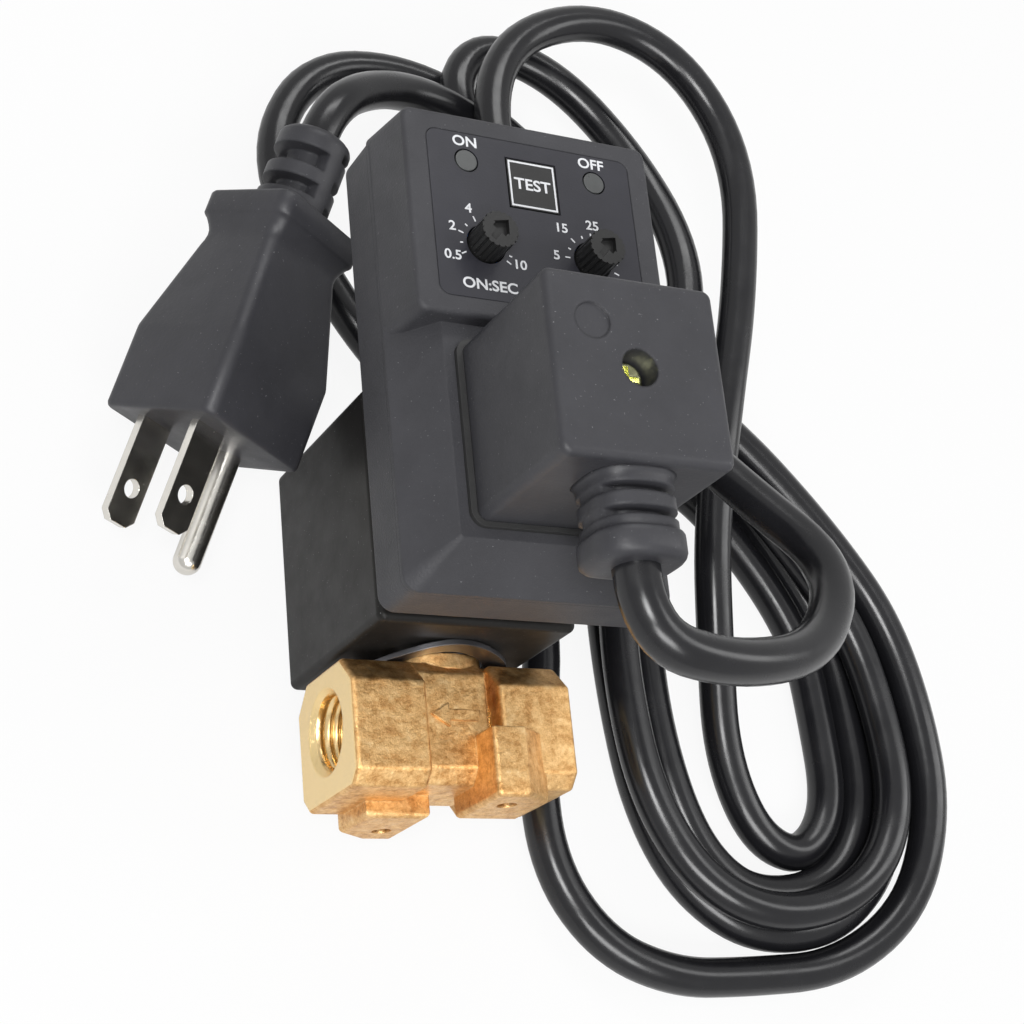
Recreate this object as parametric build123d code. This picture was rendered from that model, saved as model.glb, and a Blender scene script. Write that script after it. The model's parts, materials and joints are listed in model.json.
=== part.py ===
"""Timed automatic drain valve: brass solenoid valve, moulded coil, plug-on timer, DIN connector and mains lead.

Frame: the valve lies on the back of its coil. +Z points out of the control panel, +X along the flow axis
from outlet to inlet, +Y from the brass body towards the top of the timer. The origin is below the middle
of the valve's outline, on the surface it lies on. Millimetres.

The solids are built with y = 0 on the screw axis of the two DIN connections and moved to the row frame on
export; the cord's points are given in the row frame.
"""
from build123d import *
from math import cos, pi, radians, sin, tan
import os

# ---------------------------------------------------------------- driving dimensions
RUN = 0.05                    # radial clearance of a shaft in its bore
SLIP = 0.25                   # clearance round a loose or moving piece
SEAT = 0.0                    # faces that are clamped together

# coil
COIL_W, COIL_H, COIL_D = 35.0, 39.5, 39.2      # x, y, z
COIL_WALL = 2.2
COIL_EDGE = 1.3
COIL_BORE_R = 6.7
YOKE_T = 2.2
BOBBIN_FLANGE_T = 1.4
BOBBIN_WALL = 1.0
WINDING_R = 13.7
PAD_SIDE = 27.0               # the square pad that carries the coil's pins
PAD_H = 9.1
PAD_CORNER = 2.5

# DIN 43650 form A connection
PIN_PITCH = 18.0
PIN_W, PIN_T = 6.3, 0.8
PIN_OUT = 8.0
SLEEVE_T = 0.5                # sheet of the female contacts
GASKET_SIDE, GASKET_BAND = 30.0, 4.6
REAR_GASKET_T, FRONT_GASKET_T = 1.5, 0.9

# central screw, M3
SCREW_R = 1.5
SCREW_HOLE_R = 1.75
SCREW_HEAD_R, SCREW_HEAD_H = 2.65, 2.2
SCREW_SUNK = 3.8              # top of the head below the connector's face
INSERT_R, INSERT_L = 2.6, 8.0

# timer
TIMER_W = 45.3
TIMER_TOP, TIMER_BOTTOM = 54.0, -22.6
TIMER_CORNER = 2.6
SHELL_DEPTH = 8.9             # rear shell, up to the parting line
COVER_RISE = 8.6              # parting line to the plateau
COVER_BAND = 0.8              # straight band above the parting line
HEAD_RISE = 3.1               # control head above the plateau
HEAD_BOTTOM = 17.9
BEVEL = 6.0                   # width of the sloped sides round the plateau
HEAD_DRAFT, HEAD_CORNER = 1.0, 1.8
WALL = 2.0
POST_R = 2.4

# control panel
LABEL_W, LABEL_BOTTOM, LABEL_TOP = 35.9, 20.9, 49.8
LABEL_T, LABEL_RECESS = 0.25, 0.3
LABEL_CORNER = 1.8
KNOB_X, KNOB_Y = 9.3, 30.5
KNOB_R, KNOB_OUT = 3.05, 5.0
KNOB_TEETH, KNOB_TOOTH = 18, 0.22
KNOB_ARROW_ANGLE = -40.0      # arrow away from +Y at rest
SPINDLE_R = 1.5
LED_X, LED_Y, LED_R = 11.3, 44.9, 1.8
TEST_Y, TEST_SIDE, TEST_TRAVEL = 42.3, 8.5, 0.4
BOARD_T, BOARD_GAP = 1.6, 1.3  # board and its height above the parting line
RELAY_H, RELAY_D = 18.8, 5.6
CAPACITOR_W, CAPACITOR_H = 7.2, 17.5
EDGE_GAP = 4.0                # from the board's edge to the parts below it
PART_GAP = 3.9                # between the parts below the board
SOCKET_H, SLEEVE_L = 5.6, 5.2

# plug-on connector and its strain relief
CONN_W, CONN_H, CONN_D = 28.0, 28.4, 25.8
CONN_EDGE = 1.6
BADGE_X, BADGE_Y, BADGE_R, BADGE_DEPTH = -6.8, 6.5, 2.8, 0.4
RELIEF_W, RELIEF_D, RELIEF_CORNER = 13.0, 11.4, 4.6
RELIEF_L, RELIEF_END_L, RELIEF_LIP = 12.9, 4.4, 0.6
RELIEF_DROP = 7.6             # strain relief's axis below the connector's face
SLOT_FIRST, SLOT_PITCH, SLOT_W, SLOT_DEPTH = 2.6, 3.7, 1.3, 2.4
WEB = 1.4                     # uncut side of the slots

# valve
WASHER_GAP = 2.5              # coil's underside to the body's top
WASHER_R, WASHER_HOLE_R, WASHER_T = 12.6, 8.7, 0.9
BODY_L, BODY_HALF_D, BODY_H = 39.0, 11.6, 21.3
END_BLOCK_L = 13.0
TOP_CHAMFER, BOTTOM_CHAMFER = 4.4, 2.4
WAIST_HALF_D, WAIST_L = 9.2, 11.5
WAIST_LIFT = 1.1              # waist's underside above the end blocks'
GROOVE_HALF_D = 6.6
CAST_R = 0.9
BOSS_R, BOSS_H = 8.2, 1.5
PORT_DROP = 10.2              # port axis below the body's top
PORT_R, PORT_DEPTH = 6.1, 12.0
PORT_MOUTH_R = 7.2
FOOT_X, FOOT_Z, FOOT_DROP = 6.9, 9.3, 2.6      # tapped holes off the axis, feet below the body
FOOT_SIDE_X, FOOT_REACH = 4.4, 3.9             # foot's near side off its hole, front beyond the block
FOOT_FRONT_W, FOOT_SLOPE_W = 5.6, 5.5
FOOT_TOP = 12.6               # top of the foot's front below the body's top
TAP_R, TAP_DEPTH = 1.65, 6.0
CHAMBER_R, CHAMBER_FLOOR = 6.5, 8.0            # floor below the body's top
SEAT_R, SEAT_H, ORIFICE_R = 3.2, 1.0, 1.5
INLET_HOLE_R, OUTLET_HOLE_R = 1.2, 2.0

# armature
TUBE_ID_R = 5.1
TUBE_FOOT = 4.7               # tube's lower end below the body's top
TUBE_TOP = 9.0
CORE_FACE = -4.0
STUD_R, STUD_END = 3.9, 27.0
NUT_AF, NUT_H = 13.0, 5.0
STROKE = 2.0
SEAL_R, SEAL_T = 3.2, 2.2
SPRING_R, SPRING_WIRE, SPRING_DEPTH, SPRING_TURNS = 1.95, 0.45, 9.0, 6
O_RING_R = 0.5

# mains lead
CORD_D = 7.0
COIL_OF_CORD_H = 13.6
BLADE_W, BLADE_T, BLADE_L, BLADE_PITCH = 6.35, 1.5, 18.2, 12.7
BLADE_HOLE_R, BLADE_HOLE_AT = 1.6, 11.9
EARTH_R, EARTH_L, EARTH_OFF = 2.4, 21.6, 11.9
PRONG_BURIED = 6.0
PLUG_W, PLUG_D, PLUG_MID = 25.4, 24.0, 5.2     # across both blades, through the earth pin, centre off the blades
PLUG_FACE_L, PLUG_L = 15.0, 35.0
PLUG_WAIST_W, PLUG_WAIST_D = 15.0, 16.0
FLANGE_W, FLANGE_D, FLANGE_T = 18.5, 20.5, 4.8
RING_R, RING_T, RING_GAP, RINGS, RING_CORE_R = 6.3, 4.0, 1.9, 3, 4.4

# ---------------------------------------------------------------- levels worked out from them
AXIS_Z = COIL_D / 2
PAD_TOP = COIL_D + PAD_H
SHELL_Z = PAD_TOP + REAR_GASKET_T
PARTING_Z = SHELL_Z + SHELL_DEPTH
PLATEAU_Z = PARTING_Z + COVER_RISE
HEAD_Z = PLATEAU_Z + HEAD_RISE
LABEL_Z = HEAD_Z - LABEL_RECESS
BOARD_Z = PARTING_Z + BOARD_GAP
BOARD_W = TIMER_W - 2 * BEVEL + 1.0
RELAY_W = BOARD_W - 2 * EDGE_GAP - CAPACITOR_W - PART_GAP
BOARD_TOP = BOARD_Z + BOARD_T
CONN_Z = PLATEAU_Z + FRONT_GASKET_T
CONN_FACE = CONN_Z + CONN_D
RELIEF_Z = CONN_FACE - RELIEF_DROP
HEAD_INSIDE = HEAD_Z - LABEL_RECESS - WALL

BODY_TOP = -COIL_H / 2 - WASHER_GAP
BODY_BOTTOM = BODY_TOP - BODY_H
FEET = BODY_BOTTOM - FOOT_DROP
PORT_Y = BODY_TOP - PORT_DROP
FLOOR_Y = BODY_TOP - CHAMBER_FLOOR
SEAT_Y = FLOOR_Y + SEAT_H
PLUNGER_FOOT = SEAT_Y + 0.5
Y_SHIFT = -(TIMER_TOP + FEET) / 2             # screw axis to the middle of the outline

# ---------------------------------------------------------------- helpers


def block(x0, x1, y0, y1, z0, z1):
    """Box between two corners."""
    return Pos((x0 + x1) / 2, (y0 + y1) / 2, (z0 + z1) / 2) * Box(x1 - x0, y1 - y0, z1 - z0)


def slab(width, height, corner, z0, z1, y=0.0, x=0.0):
    """Rounded rectangle in XY, extruded from z0 to z1."""
    return Pos(x, y, z0) * extrude(RectangleRounded(width, height, corner), z1 - z0)


def rod_z(radius, z0, z1, x=0.0, y=0.0):
    return Pos(x, y, (z0 + z1) / 2) * Cylinder(radius, z1 - z0)


def rod_y(radius, y0, y1, x=0.0, z=None):
    """Cylinder along Y; on the armature's axis unless z is given."""
    return Pos(x, (y0 + y1) / 2, AXIS_Z if z is None else z) * Rot(90, 0, 0) * Cylinder(radius, y1 - y0)


def rod_x(radius, x0, x1, y, z=None):
    return Pos((x0 + x1) / 2, y, AXIS_Z if z is None else z) * Rot(0, 90, 0) * Cylinder(radius, x1 - x0)


def frustum(w0, h0, y0, z0, w1, h1, y1, z1, corner0, corner1):
    """Loft between two rounded rectangles centred on x = 0."""
    low = Pos(0, y0, z0) * RectangleRounded(w0, h0, corner0)
    high = Pos(0, y1, z1) * RectangleRounded(w1, h1, corner1)
    return loft([low, high])


def din_pins(z0, z1, grow=0.0):
    """The three flat pins of one connection: two across, the earth below; grow widens them for slots."""
    w, t = PIN_W + 2 * grow, PIN_T + 2 * grow
    half = PIN_PITCH / 2
    return {
        "line": block(-half - t / 2, -half + t / 2, -w / 2, w / 2, z0, z1),
        "neutral": block(half - t / 2, half + t / 2, -w / 2, w / 2, z0, z1),
        "earth": block(-w / 2, w / 2, -half - t / 2, -half + t / 2, z0, z1),
    }


def cut_all(body, tools):
    for tool in tools:
        body = body - tool
    return body


# ---------------------------------------------------------------- brass body


def octagon(half_d, top, bottom, top_chamfer, bottom_chamfer, x0, x1):
    """Eight-sided bar along X: the section of the valve's blocks."""
    a, b = AXIS_Z - half_d, AXIS_Z + half_d
    points = [(top, a + top_chamfer), (top, b - top_chamfer), (top - top_chamfer, b),
              (bottom + bottom_chamfer, b), (bottom, b - bottom_chamfer), (bottom, a + bottom_chamfer),
              (bottom + bottom_chamfer, a), (top - top_chamfer, a)]
    face = make_face(Plane.YZ * Polyline(*points, close=True))
    return Pos(x0, 0, 0) * extrude(face, x1 - x0, dir=(1, 0, 0))


def foot():
    """Right-hand mounting foot: a lug below the body that also stands out of its front face."""
    near = FOOT_X - FOOT_SIDE_X
    front = AXIS_Z + BODY_HALF_D + FOOT_REACH
    root = AXIS_Z + BODY_HALF_D - 0.5
    points = [(near, AXIS_Z - 0.5), (near, front), (near + FOOT_FRONT_W, front),
              (near + FOOT_FRONT_W + FOOT_SLOPE_W, root), (near + FOOT_FRONT_W + FOOT_SLOPE_W, AXIS_Z - 0.5)]
    face = make_face(Plane.XZ.offset(-FEET) * Polyline(*points, close=True))
    lug = extrude(face, BODY_TOP - FOOT_TOP - FEET, dir=(0, 1, 0))
    lug = fillet(lug.edges().filter_by(Axis.Y).group_by(Axis.Z)[-1], CAST_R)
    return fillet(lug.faces().sort_by(Axis.Y)[0].edges(), CAST_R)


def valve_body():
    half = BODY_L / 2
    ends = []
    for x0, x1 in ((-half, -half + END_BLOCK_L), (half - END_BLOCK_L, half)):
        bar = octagon(BODY_HALF_D, BODY_TOP, BODY_BOTTOM, TOP_CHAMFER, BOTTOM_CHAMFER, x0, x1)
        ends.append(fillet(bar.edges(), CAST_R))
    waist_x = -half + END_BLOCK_L - 1.5
    waist = octagon(WAIST_HALF_D, BODY_TOP, BODY_BOTTOM + WAIST_LIFT, TOP_CHAMFER / 2, BOTTOM_CHAMFER,
                    waist_x, waist_x + WAIST_L + 1.5)
    core = octagon(GROOVE_HALF_D, BODY_TOP, BODY_BOTTOM + WAIST_LIFT, 1.0, 1.0, waist_x, half - 1.5)
    lug = foot()
    body = ends[0] + ends[1] + core + fillet(waist.edges().filter_by(Axis.X), CAST_R)
    body += lug
    body += Pos(0, 0, AXIS_Z) * Rot(0, 180, 0) * Pos(0, 0, -AXIS_Z) * lug
    body += rod_y(BOSS_R, BODY_TOP - 1.0, BODY_TOP + BOSS_H)

    cuts = []
    for side in (-1, 1):
        end = side * half
        blind = end - side * PORT_DEPTH
        mouth = PORT_MOUTH_R - PORT_R
        cuts.append(rod_x(PORT_R, min(end + side, blind), max(end + side, blind), PORT_Y))
        cuts.append(Pos(end - side * mouth / 2, PORT_Y, AXIS_Z) * Rot(0, 90 * side, 0)
                    * Cone(PORT_R, PORT_MOUTH_R, mouth))
        cuts.append(rod_y(TAP_R, FEET - 1, FEET + TAP_DEPTH, side * FOOT_X, AXIS_Z + side * FOOT_Z))
    chamber = rod_y(CHAMBER_R, FLOOR_Y, BODY_TOP + BOSS_H + 1) - rod_y(SEAT_R, FLOOR_Y - 1, SEAT_Y)
    cuts.append(chamber)
    cuts.append(rod_y(ORIFICE_R, PORT_Y, SEAT_Y + 1))
    cuts.append(rod_x(OUTLET_HOLE_R, -half + PORT_DEPTH - 1, ORIFICE_R, PORT_Y))
    inlet_y = FLOOR_Y + INLET_HOLE_R + 0.3
    cuts.append(rod_x(INLET_HOLE_R, CHAMBER_R - 1.5, half - PORT_DEPTH + 1, inlet_y))
    return cut_all(body, cuts)


# ---------------------------------------------------------------- armature


def armature_tube():
    outer = CHAMBER_R - RUN
    tube = rod_y(outer, BODY_TOP - TUBE_FOOT, TUBE_TOP)
    ring_y = BODY_TOP - TUBE_FOOT / 2
    groove = rod_y(outer + 1, ring_y - O_RING_R - RUN, ring_y + O_RING_R + RUN)
    groove -= rod_y(outer - 2 * O_RING_R + RUN, ring_y - 2, ring_y + 2)
    return tube - groove - rod_y(TUBE_ID_R, BODY_TOP - TUBE_FOOT - 1, TUBE_TOP + 1)


def tube_o_ring():
    ring_y = BODY_TOP - TUBE_FOOT / 2
    major = CHAMBER_R - RUN - O_RING_R + RUN / 2
    return Pos(0, ring_y, AXIS_Z) * Rot(90, 0, 0) * Torus(major, O_RING_R - RUN / 2)


def fixed_core():
    core = rod_y(TUBE_ID_R - RUN, CORE_FACE, TUBE_TOP + 0.5) + rod_y(CHAMBER_R - RUN, TUBE_TOP, TUBE_TOP + 1)
    stud = rod_y(STUD_R, TUBE_TOP + 0.5, STUD_END)
    return core + chamfer(stud.edges().group_by(Axis.Y)[-1], 0.7)


def plunger():
    top = CORE_FACE - STROKE - 0.1
    body = rod_y(TUBE_ID_R - 2 * RUN, PLUNGER_FOOT, top)
    body -= rod_y(SPRING_R + 0.6, top - SPRING_DEPTH, top + 1)
    body -= rod_y(SEAL_R + RUN, PLUNGER_FOOT - 1, PLUNGER_FOOT - 0.45 + SEAL_T)
    for side in (-1, 1):
        body -= block(side * TUBE_ID_R - 0.8, side * TUBE_ID_R + 0.8, PLUNGER_FOOT - 1, top + 1,
                      AXIS_Z - 0.8, AXIS_Z + 0.8)
    return body


def plunger_seal():
    return rod_y(SEAL_R, PLUNGER_FOOT - 0.45, PLUNGER_FOOT - 0.45 + SEAL_T)


def plunger_spring():
    """Closed at the core's face above, standing in the plunger's bore below."""
    wire = SPRING_WIRE / 2
    start = CORE_FACE - STROKE - 0.1 - SPRING_DEPTH + wire
    length = CORE_FACE - wire - start
    helix = Pos(0, start, AXIS_Z) * Rot(-90, 0, 0) * Helix(length / SPRING_TURNS, length, SPRING_R)
    section = Plane(helix @ 0, z_dir=helix % 0) * Circle(wire)
    return sweep(section, path=helix)


def coil_nut():
    nut = extrude(Plane.XZ.offset(-COIL_H / 2) * RegularPolygon(NUT_AF / 2, 6, major_radius=False), -NUT_H)
    nut = Pos(0, 0, AXIS_Z) * nut
    return nut - rod_y(STUD_R + RUN, COIL_H / 2 - 1, COIL_H / 2 + NUT_H + 1)


def wave_washer():
    """Ring of thin sheet in two waves along X, pressed between the body and the coil."""
    low = BODY_TOP + RUN
    rise = WASHER_GAP - WASHER_T - 2 * RUN
    reach = WASHER_R + 1
    lower = [(-reach + k * reach / 12, low + rise * (1 - cos(pi * k / 12)) / 2) for k in range(25)]
    upper = [(x, y + WASHER_T) for x, y in reversed(lower)]
    band = make_face([Spline(*lower), Line(lower[-1], upper[0]), Spline(*upper), Line(upper[-1], lower[0])])
    sheet = extrude(band, COIL_D, dir=(0, 0, 1))
    ring = rod_y(WASHER_R, BODY_TOP - 1, BODY_TOP + WASHER_GAP + 1)
    ring -= rod_y(WASHER_HOLE_R, BODY_TOP - 2, BODY_TOP + WASHER_GAP + 2)
    return ring & sheet


# ---------------------------------------------------------------- coil


def yoke_envelope():
    """Half width, half height and front and back levels of the steel frame inside the coil."""
    half_w = COIL_W / 2 - COIL_WALL
    half_h = COIL_H / 2 - COIL_WALL - 0.5
    return half_w, half_h, COIL_WALL, AXIS_Z + WINDING_R + 1.2


def coil_housing():
    half_w, half_h, back, front = yoke_envelope()
    shell = Pos(0, 0, COIL_D / 2) * Box(COIL_W, COIL_H, COIL_D)
    shell = fillet(shell.edges(), COIL_EDGE)
    pad = slab(PAD_SIDE, PAD_SIDE, PAD_CORNER, COIL_D - 1, PAD_TOP)
    shell += pad
    cuts = [block(-half_w, half_w, -half_h, half_h, back, front),
            rod_y(COIL_BORE_R, -COIL_H, COIL_H),
            rod_z(INSERT_R, PAD_TOP - INSERT_L, PAD_TOP + 1),
            rod_z(SCREW_HOLE_R, COIL_D - 1, PAD_TOP)]
    cuts += din_pins(COIL_D - 2, PAD_TOP + 1).values()
    return cut_all(shell, cuts)


def coil_yoke():
    half_w, half_h, back, front = yoke_envelope()
    frame = block(-half_w + 2, half_w - 2, -half_h, half_h, back, front - 1)
    frame -= block(-half_w, half_w, -half_h + YOKE_T, half_h - YOKE_T, back + YOKE_T, front + 1)
    frame -= rod_y(COIL_BORE_R, -COIL_H, COIL_H)
    return frame


def coil_bobbin():
    half_h = yoke_envelope()[1] - YOKE_T
    spool = rod_y(COIL_BORE_R + BOBBIN_WALL, -half_h, half_h)
    for side in (-1, 1):
        y0, y1 = sorted((side * half_h, side * (half_h - BOBBIN_FLANGE_T)))
        spool += rod_y(WINDING_R + 0.9, y0, y1)
    return spool - rod_y(COIL_BORE_R, -COIL_H, COIL_H)


def coil_winding():
    half_h = yoke_envelope()[1] - YOKE_T - BOBBIN_FLANGE_T
    return rod_y(WINDING_R, -half_h, half_h) - rod_y(COIL_BORE_R + BOBBIN_WALL, -COIL_H, COIL_H)


def gasket(z0, thickness):
    inner = GASKET_SIDE - 2 * GASKET_BAND
    ring = slab(GASKET_SIDE, GASKET_SIDE, PAD_CORNER, z0, z0 + thickness)
    return ring - slab(inner, inner, PAD_CORNER, z0 - 1, z0 + thickness + 1)


# ---------------------------------------------------------------- timer


def timer_outline():
    """Height and middle of the timer's outline along Y."""
    return TIMER_TOP - TIMER_BOTTOM, (TIMER_TOP + TIMER_BOTTOM) / 2


def timer_rear_shell():
    height, mid = timer_outline()
    shell = slab(TIMER_W, height, TIMER_CORNER, SHELL_Z, PARTING_Z, mid)
    shell = fillet(shell.faces().sort_by(Axis.Z)[0].edges(), 0.6)
    shell -= slab(TIMER_W - 2 * WALL, height - 2 * WALL, TIMER_CORNER - 1, SHELL_Z + WALL, PARTING_Z + 1, mid)
    for x in (-1, 1):
        for y in (TIMER_TOP - WALL - POST_R - 3, TIMER_BOTTOM + WALL + POST_R + 3):
            shell += rod_z(POST_R, SHELL_Z + WALL - 0.5, BOARD_Z, x * (TIMER_W / 2 - BEVEL - POST_R), y)
    cuts = list(din_pins(SHELL_Z - 1, SHELL_Z + WALL + 1, SLIP).values())
    cuts.append(rod_z(SCREW_HOLE_R, SHELL_Z - 1, SHELL_Z + WALL + 1))
    return cut_all(shell, cuts)


def rear_socket():
    """Insulating block on the shell's rear wall that holds the contacts for the coil's pins."""
    z0 = SHELL_Z + WALL
    z1 = z0 + SOCKET_H
    body = slab(PAD_SIDE - 2, PAD_SIDE - 2, PAD_CORNER, z0, z1)
    cuts = list(din_pins(z0 - 1, z1 + 1, RUN + SLEEVE_T).values())
    return cut_all(body, cuts + [rod_z(SCREW_HOLE_R, z0 - 1, z1 + 1)])


def sleeves(z0, length):
    """Female contacts: flat sleeves that the pins slide into."""
    outer = din_pins(z0, z0 + length, RUN + SLEEVE_T)
    inner = din_pins(z0 - 1, z0 + length + 1, RUN)
    return {name: outer[name] - inner[name] for name in outer}


def plateau_frustum(inset, z0, z1):
    """The cover's sloped form: full outline below, plateau above, drawn in by inset all round."""
    height, mid = timer_outline()
    w0, h0 = TIMER_W - 2 * inset, height - 2 * inset
    w1, h1 = TIMER_W - 2 * BEVEL - 2 * inset, height - 2 * BEVEL - 2 * inset
    return frustum(w0, h0, mid, z0, w1, h1, mid, z1, TIMER_CORNER - inset / 2, 0.6)


def head_frustum(inset, z0, z1, z_full=None):
    """The control head with a little draft on its sides and top."""
    top, bottom = TIMER_TOP - inset, HEAD_BOTTOM + inset
    draft = HEAD_DRAFT
    return frustum(TIMER_W - 2 * inset, top - bottom, (top + bottom) / 2, z0,
                   TIMER_W - 2 * inset - 2 * draft, top - bottom - draft, (top - draft + bottom) / 2, z1,
                   HEAD_CORNER - inset / 2, HEAD_CORNER - inset / 2)


def panel_cuts(grow):
    """Openings for the lamps, the spindles and the test key."""
    z0, z1 = HEAD_INSIDE - 1, HEAD_Z + 1
    cuts = [rod_z(LED_R + grow, z0, z1, side * LED_X, LED_Y) for side in (-1, 1)]
    cuts += [rod_z(KNOB_R + grow, z0, z1, side * KNOB_X, KNOB_Y) for side in (-1, 1)]
    side = TEST_SIDE + 2 * grow
    cuts.append(block(-side / 2, side / 2, TEST_Y - side / 2, TEST_Y + side / 2, z0, z1))
    return cuts


def timer_front_cover():
    height, mid = timer_outline()
    band = PARTING_Z + COVER_BAND
    cover = slab(TIMER_W, height, TIMER_CORNER, PARTING_Z, band, mid) + plateau_frustum(0, band, PLATEAU_Z)
    head = head_frustum(0, PARTING_Z, HEAD_Z)
    head = fillet(head.faces().sort_by(Axis.Z)[-1].edges(), 0.9)
    cover += head
    cover -= plateau_frustum(WALL, PARTING_Z - 0.01, PLATEAU_Z - WALL)
    cover -= head_frustum(WALL, PARTING_Z - 0.01, HEAD_INSIDE)
    label_h = LABEL_TOP - LABEL_BOTTOM
    cover -= slab(LABEL_W, label_h, LABEL_CORNER, LABEL_Z, HEAD_Z + 1, (LABEL_TOP + LABEL_BOTTOM) / 2)
    cuts = panel_cuts(SLIP) + list(din_pins(PLATEAU_Z - WALL - 1, PLATEAU_Z + 1).values())
    cuts.append(rod_z(SCREW_HOLE_R, PLATEAU_Z - WALL - 1, PLATEAU_Z + 1))
    return cut_all(cover, cuts)


def panel_label():
    label_h = LABEL_TOP - LABEL_BOTTOM
    sheet = slab(LABEL_W - 0.2, label_h - 0.2, LABEL_CORNER - 0.1, LABEL_Z, LABEL_Z + LABEL_T,
                 (LABEL_TOP + LABEL_BOTTOM) / 2)
    return cut_all(sheet, panel_cuts(SLIP))


def knob(side):
    """Serrated spindle of a trimmer, slotted with an arrow on top."""
    top = LABEL_Z + LABEL_T + KNOB_OUT
    base = HEAD_INSIDE - 0.8
    profile = Circle(KNOB_R)
    notch = Rot(0, 0, 45) * Rectangle(KNOB_TOOTH * 2, KNOB_TOOTH * 2)
    for k in range(KNOB_TEETH):
        profile -= Rot(0, 0, 360 * k / KNOB_TEETH) * Pos(KNOB_R + 0.05, 0) * notch
    body = Pos(0, 0, LABEL_Z) * extrude(profile, top - LABEL_Z) + rod_z(KNOB_R - 0.1, base, LABEL_Z + 0.5)
    body += rod_z(SPINDLE_R, BOARD_TOP + 1.0, base + 0.5)
    arrow = Polygon((-0.5, -2.2), (0.5, -2.2), (0.5, 0.3), (1.6, 0.3), (0, 2.3), (-1.6, 0.3), (-0.5, 0.3),
                    align=None)
    arrow += Rectangle(2.6, 0.9)
    body -= Rot(0, 0, KNOB_ARROW_ANGLE) * Pos(0, 0, top - 1.0) * extrude(arrow, 2)
    return Pos(side * KNOB_X, KNOB_Y, 0) * body


def potentiometer(side):
    """Trimmer on the board below each spindle."""
    top = HEAD_INSIDE - 1.1
    body = slab(9.6, 10.4, 0.6, BOARD_TOP, top, KNOB_Y, side * KNOB_X)
    return body - rod_z(SPINDLE_R + RUN, BOARD_TOP + 0.8, top + 1, side * KNOB_X, KNOB_Y)


def led(side):
    """Flat-topped lamp from the board up to the panel's face."""
    x = side * LED_X
    lens = rod_z(LED_R, BOARD_TOP + 2, LABEL_Z + LABEL_T, x, LED_Y)
    lens += rod_z(LED_R + 0.4, BOARD_TOP + 2, BOARD_TOP + 3.2, x, LED_Y)
    for leg in (-1.27, 1.27):
        lens += block(x + leg - 0.25, x + leg + 0.25, LED_Y - 0.25, LED_Y + 0.25, BOARD_TOP, BOARD_TOP + 2.2)
    return lens


def test_button():
    """Key flush with the panel, with a rim below that keeps it in."""
    side, rim = TEST_SIDE, TEST_SIDE + 1.6
    z = HEAD_INSIDE - SLIP
    key = block(-side / 2, side / 2, TEST_Y - side / 2, TEST_Y + side / 2, z - 0.8, LABEL_Z + LABEL_T)
    return key + block(-rim / 2, rim / 2, TEST_Y - rim / 2, TEST_Y + rim / 2, z - 0.8, z)


def test_switch():
    top = HEAD_INSIDE - SLIP - 0.8 - TEST_TRAVEL - 0.1
    body = slab(6.0, 6.0, 0.4, BOARD_TOP, top - 0.9, TEST_Y)
    return body + rod_z(1.7, top - 1.0, top, 0, TEST_Y)


def circuit_board():
    y0, y1 = TIMER_BOTTOM + BEVEL - 0.6, TIMER_TOP - WALL - 2.0
    board = slab(BOARD_W, y1 - y0, 1.0, BOARD_Z, BOARD_TOP, (y0 + y1) / 2)
    return board - rod_z(SCREW_HOLE_R, BOARD_Z - 1, BOARD_TOP + 1)


def relay():
    x = -BOARD_W / 2 + EDGE_GAP + RELAY_W / 2
    return slab(RELAY_W, RELAY_H, PAD_CORNER / 4, BOARD_Z - RELAY_D, BOARD_Z, KNOB_Y - EDGE_GAP, x)


def capacitor():
    x = BOARD_W / 2 - EDGE_GAP - CAPACITOR_W / 2
    return slab(CAPACITOR_W, CAPACITOR_H, PAD_CORNER / 4, BOARD_Z - RELAY_D, BOARD_Z, KNOB_Y - EDGE_GAP, x)


# ---------------------------------------------------------------- connector


def connector_housing():
    body = slab(CONN_W, CONN_H, CONN_EDGE, CONN_Z, CONN_FACE)
    body = fillet(body.faces().sort_by(Axis.Z)[-1].edges(), CONN_EDGE - 0.4)
    cuts = list(din_pins(CONN_Z - 1, CONN_Z + PIN_OUT + 0.5, RUN + SLEEVE_T).values())
    head = CONN_FACE - SCREW_SUNK - SCREW_HEAD_H
    cuts += [rod_z(SCREW_HOLE_R, CONN_Z - 1, CONN_FACE + 1), rod_z(SCREW_HEAD_R + SLIP, head, CONN_FACE + 1),
             rod_z(BADGE_R, CONN_FACE - BADGE_DEPTH, CONN_FACE + 1, BADGE_X, BADGE_Y)]
    return cut_all(body, cuts)


def relief_bar(width, depth, corner, y0, y1):
    """Rounded bar along -Y below the connector, on the strain relief's axis."""
    face = Plane.XZ.offset(-y0) * RectangleRounded(width, depth, corner)
    return Pos(0, 0, RELIEF_Z) * extrude(face, y0 - y1)


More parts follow.
